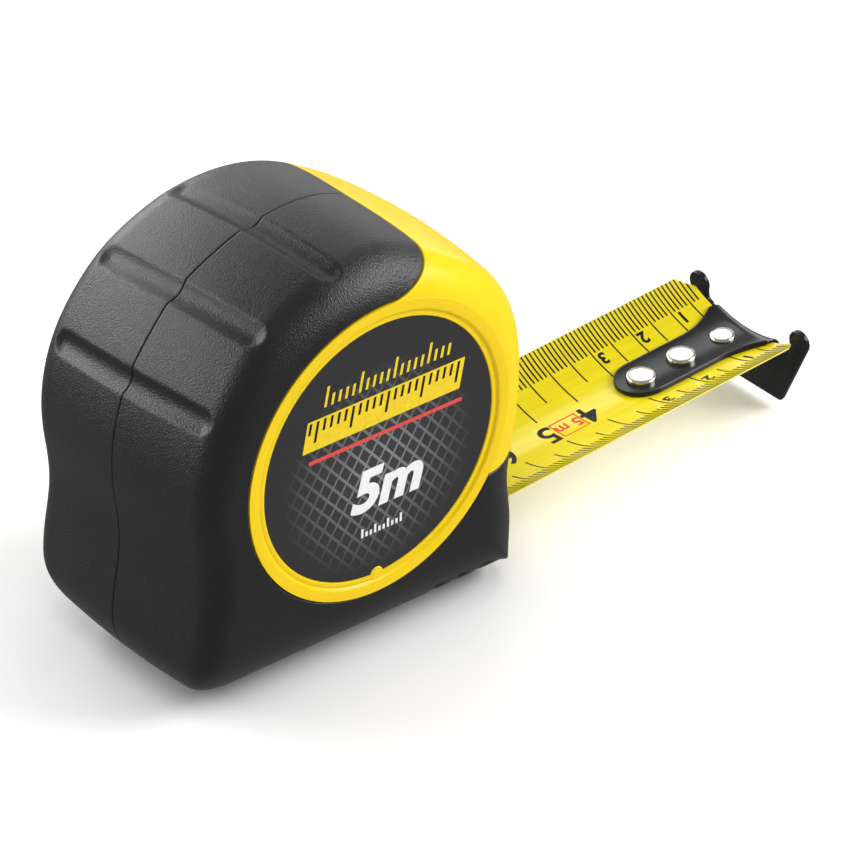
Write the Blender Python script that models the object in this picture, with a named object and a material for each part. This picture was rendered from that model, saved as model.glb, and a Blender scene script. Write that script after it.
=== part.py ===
"""Pocket tape measure with a 5 m blade, drawn out to 74 mm and held by its lock.

Frame: metres, +Z up.  The origin is on the flat base, under the spool axle.
+X points along the blade towards the hook, +Y points away from the plain label
side, towards the belt clip.  The case is two moulded halves with a rubber grip
bonded on each; the blade leaves the mouth at a small upward angle.
"""
import math

import bmesh
import bpy
from mathutils import Matrix, Vector

MM = 0.001
GAP = 0.3 * MM                      # clearance between neighbouring pieces

# Case envelope; the reaches are from a centre just behind the spool axle
AXLE_Z = 43.0 * MM
CENTRE_X = -3.2 * MM                # from the axle
CENTRE_Z = -0.3 * MM
HALF_WIDTH = 24.8 * MM
REACH_TOP = 37.2 * MM
REACH_REAR = 35.6 * MM
REACH_FRONT = 41.6 * MM
CORNER_REAR = 9.5 * MM
CORNER_FRONT = 5.0 * MM
FILLET_TOP = 8.0 * MM
FILLET_REAR = 6.0 * MM
FILLET_BASE = 14.0 * MM
FILLET_FRONT = 8.5 * MM
CROWN = 0.9 * MM                    # fall of the back from the seam to the fillets
WAIST_DEPTH = 1.1 * MM              # hollow of the rear face below the axle
SEAM_Y = 0.15 * MM
BASE_FLAP = 2.0 * MM                # the right grip laps this far under the left

# Walls
RUBBER = 1.4 * MM
SHELL_OUTER = RUBBER + GAP          # inset of the plastic shell under rubber
SHELL_INNER = 3.0 * MM              # inset of the cavity
NOSE_TOP_DEG = 68.0                 # rubber starts here on top of the case
NOSE_LOW_Z = -12.0 * MM             # rubber starts here on the front face
STEP_DEG = 0.5
STEP_Z = 0.3 * MM

# Label and its raised yellow ring
LABEL_R = 24.7 * MM
LABEL_THICK = 0.8 * MM
LABEL_SINK = 0.1 * MM
RING_R = 27.4 * MM
RING_PROUD = 0.4 * MM

# Grip grooves across the back, as angles about the axle
GROOVE_DEGS = (103.0, 127.0, 150.0)
GROOVE_HALF_DEG = 4.6
GROOVE_DEPTH = 1.0 * MM
GROOVE_FLAT_Y = 10.0 * MM           # full depth from the seam to here

# Blade
TILT = math.radians(4.0)
HOOK_ZERO_X = 111.2 * MM
HOOK_ZERO_Z = 13.7 * MM             # top of the blade's trough at the scale's zero
BLADE_R = 26.0 * MM                 # radius of the blade's curved section
BLADE_HALF_ARC = 16.8 * MM
BLADE_THICK = 0.45 * MM
BLADE_END = -1.6 * MM
BLADE_CLIP = 3.4 * MM               # length of the clipped corners
BLADE_TAIL_X = 37.2 * MM            # inner end of the drawn-out strip

# Coil, spool and spring
COIL_R = 26.0 * MM
COIL_BORE = 21.0 * MM
COIL_HALF = 16.0 * MM
DRUM_R = 20.7 * MM
DRUM_WALL = 1.2 * MM
DRUM_HALF = 17.0 * MM
POST_R = 5.0 * MM
POST_HALF = 21.4 * MM
SPRING_THICK = 0.5 * MM
SPRING_HALF = 14.0 * MM
SPRING_TURNS = 6

# Mouth, bumper and lock
MOUTH_HALF = 16.8 * MM
MOUTH_LOW = 4.6 * MM
MOUTH_HIGH = 17.0 * MM
BUMPER_HALF = 7.5 * MM
BUMPER_X = (36.0 * MM, 42.0 * MM)
BUMPER_Z = (2.2 * MM, 6.2 * MM)
LOCK_HALF = 7.0 * MM
LOCK_Z = (24.0 * MM, 40.0 * MM)
LOCK_PROUD = 3.4 * MM
LOCK_TRAVEL = 5.0 * MM
STEM_HALF = 4.0 * MM
STEM_Z = (28.0 * MM, 36.0 * MM)
ARM_X = (29.4 * MM, 32.8 * MM)
PAD_BOTTOM = 14.8 * MM
PAD_THICK = 1.5 * MM

# Hook and rivets; u runs along the blade from the scale's zero
HOOK_THICK = 0.8 * MM
LIP_HALF_THICK = 0.6 * MM
TAIL_HALF = 5.4 * MM
TAIL_END_U = -32.3 * MM
FLANK_U = -12.0 * MM                # where the tail starts to widen
FLANK_HALF = 9.8 * MM
LIP_LOW_W = -17.4 * MM
LIP_LOW_HALF = 9.8 * MM
EAR_Y = 13.8 * MM
EAR_W = -2.1 * MM
EAR_R = 2.4 * MM
RIVET_US = (-27.2 * MM, -17.2 * MM, -6.8 * MM)
RIVET_HEAD_RS = (2.8 * MM, 2.8 * MM, 2.4 * MM)
RIVET_STAND = 0.7 * MM
RIVET_SHANK_R = 1.2 * MM
HOOK_PLAY = 0.6 * MM

# Screws through both case halves
SCREW_RING = 28.9 * MM
SCREW_DEGS = (40.0, 140.0, 205.0, 325.0)
SCREW_HEAD_R = 2.0 * MM
SCREW_HEAD_Y = (18.6 * MM, 20.6 * MM)
SCREW_R = 1.2 * MM
SCREW_TIP_Y = -12.0 * MM
BOSS_R = 2.5 * MM
SEAT_R = 3.0 * MM                   # wider end of the left bosses, round the head
SEAT_Y = 17.5 * MM
BOSS_END = 0.8 * MM

# Belt clip on the left side
CLIP_HALF = 8.0 * MM
CLIP_THICK = 1.0 * MM
CLIP_LEAF_Y = HALF_WIDTH + 1.6 * MM
CLIP_GAP = 4.7 * MM
CLIP_TOP = 52.5 * MM
CLIP_LEAF_LOW = 35.0 * MM
CLIP_LOW = 22.0 * MM
CLIP_FLARE = 1.6 * MM
CLIP_TIP_Z = 16.0 * MM

ARC_FRONT_STEPS = 10
ARC_REAR_STEPS = 26
NOSE_LOW_STEPS = 3
ROUND_STEPS = 48


# ---------------------------------------------------------------- helpers

def clear_scene():
    for obj in list(bpy.data.objects):
        bpy.data.objects.remove(obj, do_unlink=True)


def material(name, color, roughness, metallic=0.0):
    mat = bpy.data.materials.get(name)
    if mat is None:
        mat = bpy.data.materials.new(name)
        mat.use_nodes = True
        shader = mat.node_tree.nodes["Principled BSDF"]
        shader.inputs["Base Color"].default_value = (*color, 1.0)
        shader.inputs["Roughness"].default_value = roughness
        shader.inputs["Metallic"].default_value = metallic
    return mat


def finish(name, bm, mat, origin=(0.0, 0.0, 0.0)):
    """Turn a bmesh in world coordinates into an object whose origin is at origin."""
    bmesh.ops.recalc_face_normals(bm, faces=bm.faces)
    bmesh.ops.translate(bm, verts=bm.verts, vec=-Vector(origin))
    mesh = bpy.data.meshes.new(name)
    bm.to_mesh(mesh)
    bm.free()
    mesh.shade_smooth()
    mesh.set_sharp_from_angle(angle=math.radians(35))
    obj = bpy.data.objects.new(name, mesh)
    obj.location = origin
    bpy.context.collection.objects.link(obj)
    if mat:
        mesh.materials.append(mat)
    return obj


def slab(name, upper, lower, mat, origin=(0.0, 0.0, 0.0)):
    """Closed solid between two point grids of the same shape."""
    bm = bmesh.new()
    top = [[bm.verts.new(p) for p in row] for row in upper]
    low = [[bm.verts.new(p) for p in row] for row in lower]
    rows, cols = len(top), len(top[0])
    for i in range(rows - 1):
        for k in range(cols - 1):
            bm.faces.new((top[i][k], top[i][k + 1], top[i + 1][k + 1], top[i + 1][k]))
            bm.faces.new((low[i][k], low[i + 1][k], low[i + 1][k + 1], low[i][k + 1]))
        for k in (0, cols - 1):
            bm.faces.new((top[i][k], top[i + 1][k], low[i + 1][k], low[i][k]))
    for i in (0, rows - 1):
        for k in range(cols - 1):
            bm.faces.new((top[i][k], top[i][k + 1], low[i][k + 1], low[i][k]))
    return finish(name, bm, mat, origin)


def loft(name, rings, mat, origin=(0.0, 0.0, 0.0)):
    """Closed solid through a row of closed loops, with flat ends."""
    bm = bmesh.new()
    loops = [[bm.verts.new(p) for p in ring] for ring in rings]
    count = len(loops[0])
    for one, two in zip(loops, loops[1:]):
        for k in range(count):
            n = (k + 1) % count
            bm.faces.new((one[k], one[n], two[n], two[k]))
    bm.faces.new(loops[0])
    bm.faces.new(loops[-1])
    return finish(name, bm, mat, origin)


def lathe_y(name, profile, centre, mat, steps=ROUND_STEPS, closed=False):
    """Turn a list of (radius, y) about a Y axis; a closed profile makes a ring."""
    cx, cz = centre
    rings = []
    for radius, y in profile:
        ring = []
        for k in range(steps):
            a = math.tau * k / steps
            ring.append((cx + radius * math.cos(a), y, cz + radius * math.sin(a)))
        rings.append(ring)
    if not closed:
        return loft(name, rings, mat, (cx, 0.0, cz))
    bm = bmesh.new()
    loops = [[bm.verts.new(p) for p in ring] for ring in rings]
    for one, two in zip(loops, loops[1:] + loops[:1]):
        for k in range(steps):
            n = (k + 1) % steps
            bm.faces.new((one[k], one[n], two[n], two[k]))
    return finish(name, bm, mat, (cx, 0.0, cz))


def box(name, low, high, mat=None):
    bm = bmesh.new()
    bmesh.ops.create_cube(bm, size=1.0)
    size = Vector(high) - Vector(low)
    for v in bm.verts:
        v.co = Vector(low) + Vector(((v.co.x + 0.5) * size.x, (v.co.y + 0.5) * size.y,
                                     (v.co.z + 0.5) * size.z))
    return finish(name, bm, mat)


def bevel(obj, width, segments=2, angle=40.0):
    mod = obj.modifiers.new("edge", "BEVEL")
    mod.width = width
    mod.segments = segments
    mod.limit_method = "ANGLE"
    mod.angle_limit = math.radians(angle)


def boolean(obj, other, operation):
    mod = obj.modifiers.new(operation.lower(), "BOOLEAN")
    mod.object = other
    mod.operation = operation
    mod.solver = "EXACT"
    other.hide_render = True
    other.display_type = "WIRE"


def rod_y(name, centre, radius, y_from, y_to, steps=20):
    """Plain cylinder along Y, used as a boolean operand."""
    return lathe_y(name, [(radius, y_from), (radius, y_to)], centre, None, steps)


# ---------------------------------------------------------------- case form

def outline(front, top, rear, base):
    """Case outline about the axle for a given inset of each side: [(x, z, weights)].

    weights say how much each of the four sides rules a point, which the fillet
    radius follows.
    """
    xf, zt = REACH_FRONT - front, REACH_TOP - top
    xr, zb = REACH_REAR - rear, AXLE_Z + CENTRE_Z - base
    points = []
    nose = [NOSE_TOP_DEG * k / ARC_FRONT_STEPS for k in range(ARC_FRONT_STEPS + 1)]
    for deg in nose + [NOSE_TOP_DEG + STEP_DEG, NOSE_TOP_DEG + 2 * STEP_DEG, 76.0, 83.0]:
        t = math.radians(deg)
        s = math.sin(t) ** 2
        points.append((xf * math.cos(t), zt * math.sin(t), (1.0 - s, s, 0.0, 0.0)))
    for k in range(ARC_REAR_STEPS + 1):
        t = math.radians(90.0 + 90.0 * k / ARC_REAR_STEPS)
        s = math.sin(t) ** 2
        points.append((xr * math.cos(t), zt * math.sin(t), (0.0, s, 1.0 - s, 0.0)))
    c = max(CORNER_REAR - 0.5 * (rear + base), 1.0 * MM)
    drop = zb - c
    for k in range(1, 9):
        z = -drop * k / 9.0
        hollow = WAIST_DEPTH * math.sin(math.pi * k / 9.0)
        points.append((-xr + hollow, z, (0.0, 0.0, 1.0, 0.0)))
    for k in range(6):
        t = math.radians(180.0 + 18.0 * k)
        s = math.sin(t) ** 2
        points.append((-xr + c + c * math.cos(t), -zb + c + c * math.sin(t), (0.0, 0.0, 1.0 - s, s)))
    d = max(CORNER_FRONT - 0.5 * (front + base), 1.0 * MM)
    for k in range(1, 10):
        x = (-xr + c) + (xf - d + xr - c) * k / 10.0
        points.append((x, -zb, (0.0, 0.0, 0.0, 1.0)))
    for k in range(6):
        t = math.radians(270.0 + 18.0 * k)
        s = math.sin(t) ** 2
        points.append((xf - d + d * math.cos(t), -zb + d + d * math.sin(t), (1.0 - s, 0.0, 0.0, s)))
    low, high = -zb + d, NOSE_LOW_Z - 2 * STEP_Z
    heights = [low + (high - low) * k / 4.0 for k in range(1, 5)] + [NOSE_LOW_Z - STEP_Z]
    heights += [NOSE_LOW_Z * k / NOSE_LOW_STEPS for k in range(NOSE_LOW_STEPS, 0, -1)]
    for z in heights:
        points.append((xf, z, (1.0, 0.0, 0.0, 0.0)))
    return [(x + CENTRE_X, z + CENTRE_Z, weights) for x, z, weights in points]


def fillet_radius(weights):
    radii = (FILLET_FRONT, FILLET_TOP, FILLET_REAR, FILLET_BASE)
    return sum(w * r for w, r in zip(weights, radii))


def is_nose(index, count):
    """Outline points on the bare yellow nose, in front of both rubber edges."""
    return index <= ARC_FRONT_STEPS or index >= count - NOSE_LOW_STEPS


def groove_inset(x, z):
    angle = math.degrees(math.atan2(z, x))
    for centre in GROOVE_DEGS:
        off = abs(angle - centre) / GROOVE_HALF_DEG
        if off < 1.0:
            return GROOVE_DEPTH * math.cos(0.5 * math.pi * off) ** 2
    return 0.0


def station_ring(theta, offset_of, crown=CROWN):
    """Loop of the case surface at fillet angle theta, inset by offset_of(index).

    theta 0 is where the fillet starts and 90 is the side face.
    """
    c, s = math.cos(theta), math.sin(theta)
    insets = [crown + r - r * c for r in (FILLET_FRONT, FILLET_TOP, FILLET_REAR)]
    insets.append(FILLET_BASE - FILLET_BASE * c)
    base_loop = outline(*insets)
    ring = []
    for i, (x, z, weights) in enumerate(base_loop):
        offset = offset_of(i)
        radius = fillet_radius(weights)
        normal = loop_normal(base_loop, i)
        px = x - normal[0] * offset * c
        pz = z - normal[1] * offset * c
        ring.append((px, HALF_WIDTH - radius + (radius - offset) * s, pz))
    return ring


def loop_normal(points, i):
    """Outward normal of a counter-clockwise loop in X and Z."""
    ax, az = points[i - 1][0], points[i - 1][1]
    n = (i + 1) % len(points)
    bx, bz = points[n][0], points[n][1]
    tx, tz = bx - ax, bz - az
    length = math.hypot(tx, tz)
    return tz / length, -tx / length


def seam_ring(y, offset_of):
    return [(x, y, z) for x, _, z in station_ring(0.0, offset_of, 0.0)]


def between(one, two, y):
    """Loop at y on the straight fall from one loop to another."""
    ring = []
    for (ax, ay, az), (bx, by, bz) in zip(one, two):
        t = (y - ay) / (by - ay)
        ring.append((ax + t * (bx - ax), y, az + t * (bz - az)))
    return ring


def circle_ring(radius, y, like):
    """Loop on a circle about the axle, with its points at the angles of another."""
    ring = []
    for x, _, z in like:
        a = math.atan2(z, x)
        ring.append((radius * math.cos(a), y, radius * math.sin(a)))
    return ring


def place(ring, side):
    return [(x, side * y, z + AXLE_Z) for x, y, z in ring]


# ---------------------------------------------------------------- case pieces

def make_shell(name, side, mat):
    """Plastic case half: a cup with a thick nose, a raised ring and four bosses."""
    count = len(outline(0.0, 0.0, 0.0, 0.0))

    def outer(i):
        return 0.0 if is_nose(i, count) else SHELL_OUTER

    def inner(_):
        return SHELL_INNER

    angles = [math.radians(a) for a in (0, 30, 60, 90)]
    rings = [circle_ring(POST_R, HALF_WIDTH - SHELL_INNER, station_ring(angles[3], inner))]
    rings += [circle_ring(RING_R - 2.0 * MM, HALF_WIDTH - SHELL_INNER, rings[0])]
    rings += [station_ring(a, inner) for a in (angles[3], angles[2], angles[0])]
    rings += [seam_ring(SEAM_Y, inner), seam_ring(SEAM_Y, outer)]
    rings += [station_ring(a, outer) for a in angles]
    foot = [SHELL_OUTER if not is_nose(i, count) else 0.0 for i in range(count)]
    skirt = circle_ring(RING_R, HALF_WIDTH, rings[-1])
    rings.append([(x, y - f, z) for (x, y, z), f in zip(skirt, foot)])
    rings.append(circle_ring(RING_R - 0.2 * MM, HALF_WIDTH + RING_PROUD, skirt))
    rings.append(circle_ring(LABEL_R + 0.5 * MM, HALF_WIDTH + RING_PROUD, skirt))
    floor = HALF_WIDTH - LABEL_SINK - LABEL_THICK - GAP
    rings.append(circle_ring(LABEL_R + GAP, floor, skirt))
    rings.append(circle_ring(POST_R, floor, skirt))
    shell = loft(name, [place(r, side) for r in rings], mat)
    add_bosses(shell, name, side)
    cut_front(shell, name)
    return shell


def screw_centre(deg):
    a = math.radians(deg)
    return SCREW_RING * math.cos(a), AXLE_Z + SCREW_RING * math.sin(a)


def add_bosses(shell, name, side):
    """Four posts for the case screws, bored through, with sunk heads on the left."""
    wall = HALF_WIDTH - SHELL_INNER
    for n, deg in enumerate(SCREW_DEGS, 1):
        centre = screw_centre(deg)
        boss = rod_y(f"{name}_boss_{n}", centre, BOSS_R, side * BOSS_END, side * (wall + 0.1 * MM))
        boolean(shell, boss, "UNION")
        if side > 0:
            seat = rod_y(f"{name}_seat_{n}", centre, SEAT_R, SEAT_Y, wall + 0.1 * MM)
            boolean(shell, seat, "UNION")
    for n, deg in enumerate(SCREW_DEGS, 1):
        centre = screw_centre(deg)
        reach = SCREW_HEAD_Y[0] if side > 0 else -SCREW_TIP_Y + 1.0 * MM
        hole = rod_y(f"{name}_bore_{n}", centre, SCREW_R + GAP, 0.0, side * (reach + 0.5 * MM))
        boolean(shell, hole, "DIFFERENCE")
        if side > 0:
            sink = rod_y(f"{name}_sink_{n}", centre, SCREW_HEAD_R + GAP,
                         SCREW_HEAD_Y[0] - GAP, HALF_WIDTH + 2.0 * MM)
            boolean(shell, sink, "DIFFERENCE")
    if side > 0:
        hole = rod_y(f"{name}_clip_bore", (0.0, AXLE_Z), SCREW_R + GAP, wall - MM, HALF_WIDTH + MM)
        boolean(shell, hole, "DIFFERENCE")


def cut_front(obj, name):
    """Mouth, bumper seat and lock slot through the front wall."""
    boolean(obj, box(f"{name}_mouth", (33 * MM, -MOUTH_HALF, MOUTH_LOW),
                     (45 * MM, MOUTH_HALF, MOUTH_HIGH)), "DIFFERENCE")
    boolean(obj, box(f"{name}_seat", (BUMPER_X[0] - GAP, -BUMPER_HALF - GAP, BUMPER_Z[0] - GAP),
                     (45 * MM, BUMPER_HALF + GAP, MOUTH_LOW + MM)), "DIFFERENCE")
    boolean(obj, box(f"{name}_slot", (33 * MM, -STEM_HALF - GAP, STEM_Z[0] - 2 * GAP),
                     (45 * MM, STEM_HALF + GAP, STEM_Z[1] + LOCK_TRAVEL + 2 * GAP)), "DIFFERENCE")


def make_grip(name, side, mat):
    """Rubber skin over the back, base and lower front of one case half."""
    count = len(outline(0.0, 0.0, 0.0, 0.0))
    first, last = ARC_FRONT_STEPS + 2, count - NOSE_LOW_STEPS - 2
    thetas = [math.radians(a) for a in (0, 22.5, 45, 67.5, 90)]
    lap = BASE_FLAP if side < 0 else -BASE_FLAP - 2 * SEAM_Y

    def face(depth, theta):
        return station_ring(theta, lambda _: depth)

    outer = [face(0.0, t) for t in thetas]
    inner = [face(RUBBER, t) for t in thetas]
    crest = seam_ring(SEAM_Y, lambda _: 0.0)
    crest_in = seam_ring(SEAM_Y, lambda _: RUBBER)
    flat = between(crest, outer[0], GROOVE_FLAT_Y)
    flat_in = between(crest_in, inner[0], GROOVE_FLAT_Y)
    edge = circle_ring(RING_R + GAP, HALF_WIDTH, outer[-1])
    edge_in = circle_ring(RING_R + GAP, HALF_WIDTH - RUBBER, outer[-1])
    plan = outline(0.0, 0.0, 0.0, 0.0)
    upper, lower = [], []
    for i in range(first, last + 1):
        seam = SEAM_Y - lap if is_under(plan[i]) else SEAM_Y
        normal = loop_normal(plan, i)
        cut = groove_inset(crest[i][0], crest[i][2])
        row = [sunk(crest[i], normal, cut), sunk(flat[i], normal, cut), sunk(outer[0][i], normal, 0.5 * cut)]
        row[0] = (row[0][0], seam, row[0][2])
        upper.append(row + [outer[k][i] for k in range(1, 5)] + [edge[i]])
        row = [(crest_in[i][0], seam, crest_in[i][2]), flat_in[i]]
        lower.append(row + [inner[k][i] for k in range(5)] + [edge_in[i]])
    upper = [place(row, side) for row in upper]
    lower = [place(row, side) for row in lower]
    grip = slab(name, upper, lower, mat)
    cut_front(grip, name)
    if side > 0:
        for n, deg in enumerate(SCREW_DEGS, 1):
            sink = rod_y(f"{name}_sink_{n}", screw_centre(deg), SCREW_HEAD_R + GAP,
                         SCREW_HEAD_Y[0] - MM, HALF_WIDTH + 2.0 * MM)
            boolean(grip, sink, "DIFFERENCE")
    return grip


def sunk(point, normal, depth):
    x, y, z = point
    return x - normal[0] * depth, y, z - normal[1] * depth


def is_under(point):
    """Outline points on the flat base, where one grip laps under the other."""
    _, _, weights = point
    return weights[3] > 0.999


def make_label(name, side, mat):
    y_in = HALF_WIDTH - LABEL_SINK - LABEL_THICK
    y_out = HALF_WIDTH - LABEL_SINK
    label = lathe_y(name, [(LABEL_R, side * y_in), (LABEL_R, side * (y_out - 0.2 * MM)),
                           (LABEL_R - 0.2 * MM, side * y_out)], (0.0, AXLE_Z), mat, 72)
    if side > 0:
        hole = rod_y(f"{name}_hole", (0.0, AXLE_Z), SCREW_R + GAP, y_in - MM, y_out + MM)
        boolean(label, hole, "DIFFERENCE")
    return label


def make_case_screw(number, mat):
    centre = screw_centre(SCREW_DEGS[number - 1])
    head_low, head_high = SCREW_HEAD_Y
    profile = [(0.5 * SCREW_R, SCREW_TIP_Y), (SCREW_R, SCREW_TIP_Y + MM), (SCREW_R, head_low),
               (SCREW_HEAD_R, head_low), (SCREW_HEAD_R, head_high - 0.5 * MM),
               (SCREW_HEAD_R - 0.6 * MM, head_high)]
    return lathe_y(f"case_screw_{number}", profile, centre, mat, 20)


def make_bumper(mat):
    bumper = box("mouth_bumper", (BUMPER_X[0], -BUMPER_HALF, BUMPER_Z[0]),
                 (BUMPER_X[1], BUMPER_HALF, BUMPER_Z[1]), mat)
    bevel(bumper, 0.8 * MM)
    return bumper


# ---------------------------------------------------------------- reel

def make_post(mat):
    post = lathe_y("spring_post", [(POST_R - 0.5 * MM, -POST_HALF), (POST_R, -POST_HALF + 0.5 * MM),
                                   (POST_R, POST_HALF - 0.5 * MM), (POST_R - 0.5 * MM, POST_HALF)],
                   (0.0, AXLE_Z), mat, 32)
    slot = box("post_slot", (-0.5 * MM, -SPRING_HALF, AXLE_Z), (0.5 * MM, SPRING_HALF, AXLE_Z + 2 * POST_R))
    boolean(post, slot, "DIFFERENCE")
    bore = rod_y("post_bore", (0.0, AXLE_Z), SCREW_R + GAP, POST_HALF - 6.0 * MM, POST_HALF + MM)
    boolean(post, bore, "DIFFERENCE")
    return post


def make_drum(mat):
    web = 1.4 * MM
    profile = [(POST_R + GAP, -DRUM_HALF), (DRUM_R, -DRUM_HALF), (DRUM_R, DRUM_HALF),
               (DRUM_R - DRUM_WALL, DRUM_HALF), (DRUM_R - DRUM_WALL, -DRUM_HALF + web),
               (POST_R + GAP, -DRUM_HALF + web)]
    return lathe_y("spool_drum", profile, (0.0, AXLE_Z), mat, 40, closed=True)


def make_spring(mat):
    """Flat power spring: a spiral from the post out to the drum."""
    r_in, r_out = POST_R + 0.6 * MM, DRUM_R - DRUM_WALL - 0.9 * MM
    steps = SPRING_TURNS * 20
    upper, lower = [], []
    for k in range(steps + 1):
        a = math.tau * SPRING_TURNS * k / steps
        r = r_in + (r_out - r_in) * k / steps
        for rows, radius in ((upper, r + 0.5 * SPRING_THICK), (lower, r - 0.5 * SPRING_THICK)):
            x, z = radius * math.cos(a), AXLE_Z + radius * math.sin(a)
            rows.append([(x, -SPRING_HALF, z), (x, SPRING_HALF, z)])
    return slab("power_spring", upper, lower, mat, (0.0, 0.0, AXLE_Z))


def make_coil(mat):
    profile = [(COIL_BORE, -COIL_HALF), (COIL_R, -COIL_HALF), (COIL_R, COIL_HALF), (COIL_BORE, COIL_HALF)]
    return lathe_y("blade_coil", profile, (0.0, AXLE_Z), mat, ROUND_STEPS, closed=True)


# ---------------------------------------------------------------- blade and hook

def along(u, y, w):
    """World point at u along the blade from the scale's zero and w above its trough."""
    c, s = math.cos(TILT), math.sin(TILT)
    return HOOK_ZERO_X + u * c - w * s, y, HOOK_ZERO_Z + u * s + w * c


def trough(arc):
    """Sideways place and rise of the blade's curved section at an arc length."""
    a = arc / BLADE_R
    return BLADE_R * math.sin(a), BLADE_R * (1.0 - math.cos(a))


def curved_row(u, half_arc, lift, steps=12):
    """Row of points across the blade; lift moves them along the section's normal."""
    row = []
    for k in range(steps + 1):
        arc = half_arc * (2.0 * k / steps - 1.0)
        a = arc / BLADE_R
        radius = BLADE_R - lift
        row.append(along(u, radius * math.sin(a), BLADE_R - radius * math.cos(a)))
    return row


def tail_u():
    return (BLADE_TAIL_X - HOOK_ZERO_X) / math.cos(TILT)


def make_strip(mat):
    start = tail_u()
    us = [start + (BLADE_END - BLADE_CLIP - start) * k / 6.0 for k in range(7)] + [BLADE_END]
    halves = [BLADE_HALF_ARC] * 7 + [BLADE_HALF_ARC - BLADE_CLIP]
    upper = [curved_row(u, h, 0.0) for u, h in zip(us, halves)]
    lower = [curved_row(u, h, -BLADE_THICK) for u, h in zip(us, halves)]
    strip = slab("blade_strip", upper, lower, mat, along(start, 0.0, 0.0))
    for n, u in enumerate(RIVET_US, 1):
        boolean(strip, upright_rod(f"strip_hole_{n}", u, RIVET_SHANK_R + GAP, -3 * MM, 3 * MM), "DIFFERENCE")
    return strip


def upright_rod(name, u, radius, w_from, w_to, steps=20):
    """Cylinder square to the blade at u."""
    rings = []
    for w in (w_from, w_to):
        rings.append([along(u + radius * math.cos(math.tau * k / steps),
                            radius * math.sin(math.tau * k / steps), w) for k in range(steps)])
    return loft(name, rings, None)


def make_lead(mat):
    """Blade between the coil and the mouth, flat at the coil and opening to a trough."""
    x_from, x_to = 8.0 * MM, 36.4 * MM
    z_from, z_to = 17.6 * MM, 13.7 * MM
    sag_to = 1.8 * MM
    half = 15.6 * MM
    upper, lower = [], []
    for k in range(9):
        t = k / 8.0
        x = x_from + (x_to - x_from) * t
        z = z_from + (z_to - z_from) * t
        rise = sag_to * t * t
        for rows, drop in ((upper, 0.0), (lower, BLADE_THICK)):
            row = []
            for j in range(9):
                s = j / 4.0 - 1.0
                row.append((x, half * s, z + rise * s * s - drop))
            rows.append(row)
    return slab("blade_lead", upper, lower, mat)


def tail_half(u):
    """Half-width of the hook's tail at u: round end, straight sides, flared front."""
    centre = TAIL_END_U + TAIL_HALF
    if u < centre:
        return math.sqrt(max(TAIL_HALF ** 2 - (centre - u) ** 2, (0.6 * MM) ** 2))
    if u < FLANK_U:
        return TAIL_HALF
    t = (u - FLANK_U) / (-FLANK_U)
    return TAIL_HALF + (FLANK_HALF - TAIL_HALF) * min(t, 1.0) ** 2


def make_hook(mat):
    """Tail plate bent down into a lip with an ear on each side."""
    us = [TAIL_END_U + TAIL_HALF * (1.0 - math.cos(math.radians(a))) for a in (0, 20, 40, 60, 90)]
    us += [-20.0 * MM, FLANK_U, -9.0 * MM, -6.0 * MM, -3.5 * MM, -1.8 * MM, -0.5 * LIP_HALF_THICK]
    upper = [curved_row(u, tail_half(u), GAP + HOOK_THICK, 8) for u in us]
    lower = [curved_row(u, tail_half(u), GAP, 8) for u in us]
    hook = slab("end_hook", upper, lower, mat, along(0.0, 0.0, 0.0))
    boolean(hook, make_lip("hook_lip"), "UNION")
    for n, u in enumerate(RIVET_US, 1):
        hole = upright_rod(f"hook_hole_{n}", u, RIVET_SHANK_R + HOOK_PLAY + 0.2 * MM, -3 * MM, 4 * MM)
        boolean(hook, hole, "DIFFERENCE")
    return hook


def lip_outline():
    """Half outline of the lip, from its bottom centre up to the trough: [(y, w)]."""
    edge = BLADE_R * (1.0 - math.cos(BLADE_HALF_ARC / BLADE_R))     # edge plane above the trough
    points = [(0.0, LIP_LOW_W), (LIP_LOW_HALF - 0.6 * MM, LIP_LOW_W), (LIP_LOW_HALF, LIP_LOW_W + 0.5 * MM)]
    for deg in range(-15, 196, 30):
        a = math.radians(deg)
        points.append((EAR_Y + EAR_R * math.cos(a), EAR_W + EAR_R * math.sin(a)))
    points.append((11.0 * MM, -4.3 * MM))
    outline_half = [(y, w + edge) for y, w in points]
    crest = BLADE_R - GAP - 0.8 * HOOK_THICK
    for y in (9.4 * MM, 6.5 * MM, 3.2 * MM, 0.0):
        outline_half.append((y, BLADE_R - math.sqrt(crest ** 2 - y ** 2)))
    return outline_half


def make_lip(name):
    half = lip_outline()
    full = half + [(-y, w) for y, w in reversed(half) if y > 0.0]
    rings = [[along(u, y, w) for y, w in full] for u in (-LIP_HALF_THICK, LIP_HALF_THICK)]
    return loft(name, rings, None)


def make_rivet(number, mat):
    """Rivet with a tall flat head above the hook and a clenched end below the blade."""
    u, head = RIVET_US[number - 1], RIVET_HEAD_RS[number - 1]
    seat = GAP + HOOK_THICK + GAP + head ** 2 / (2 * BLADE_R)
    top = seat + RIVET_STAND
    under = -BLADE_THICK - GAP
    profile = [(1.6 * MM, under - 0.4 * MM), (1.9 * MM, under), (RIVET_SHANK_R, under), (RIVET_SHANK_R, seat),
               (head - 0.1 * MM, seat), (head, top - 0.4 * MM), (head - 0.5 * MM, top)]
    rings = []
    for radius, w in profile:
        rings.append([along(u + radius * math.cos(math.tau * k / 24),
                            radius * math.sin(math.tau * k / 24), w) for k in range(24)])
    return loft(f"hook_rivet_{number}", rings, mat, along(u, 0.0, 0.0))


# ---------------------------------------------------------------- lock and clip

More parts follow.
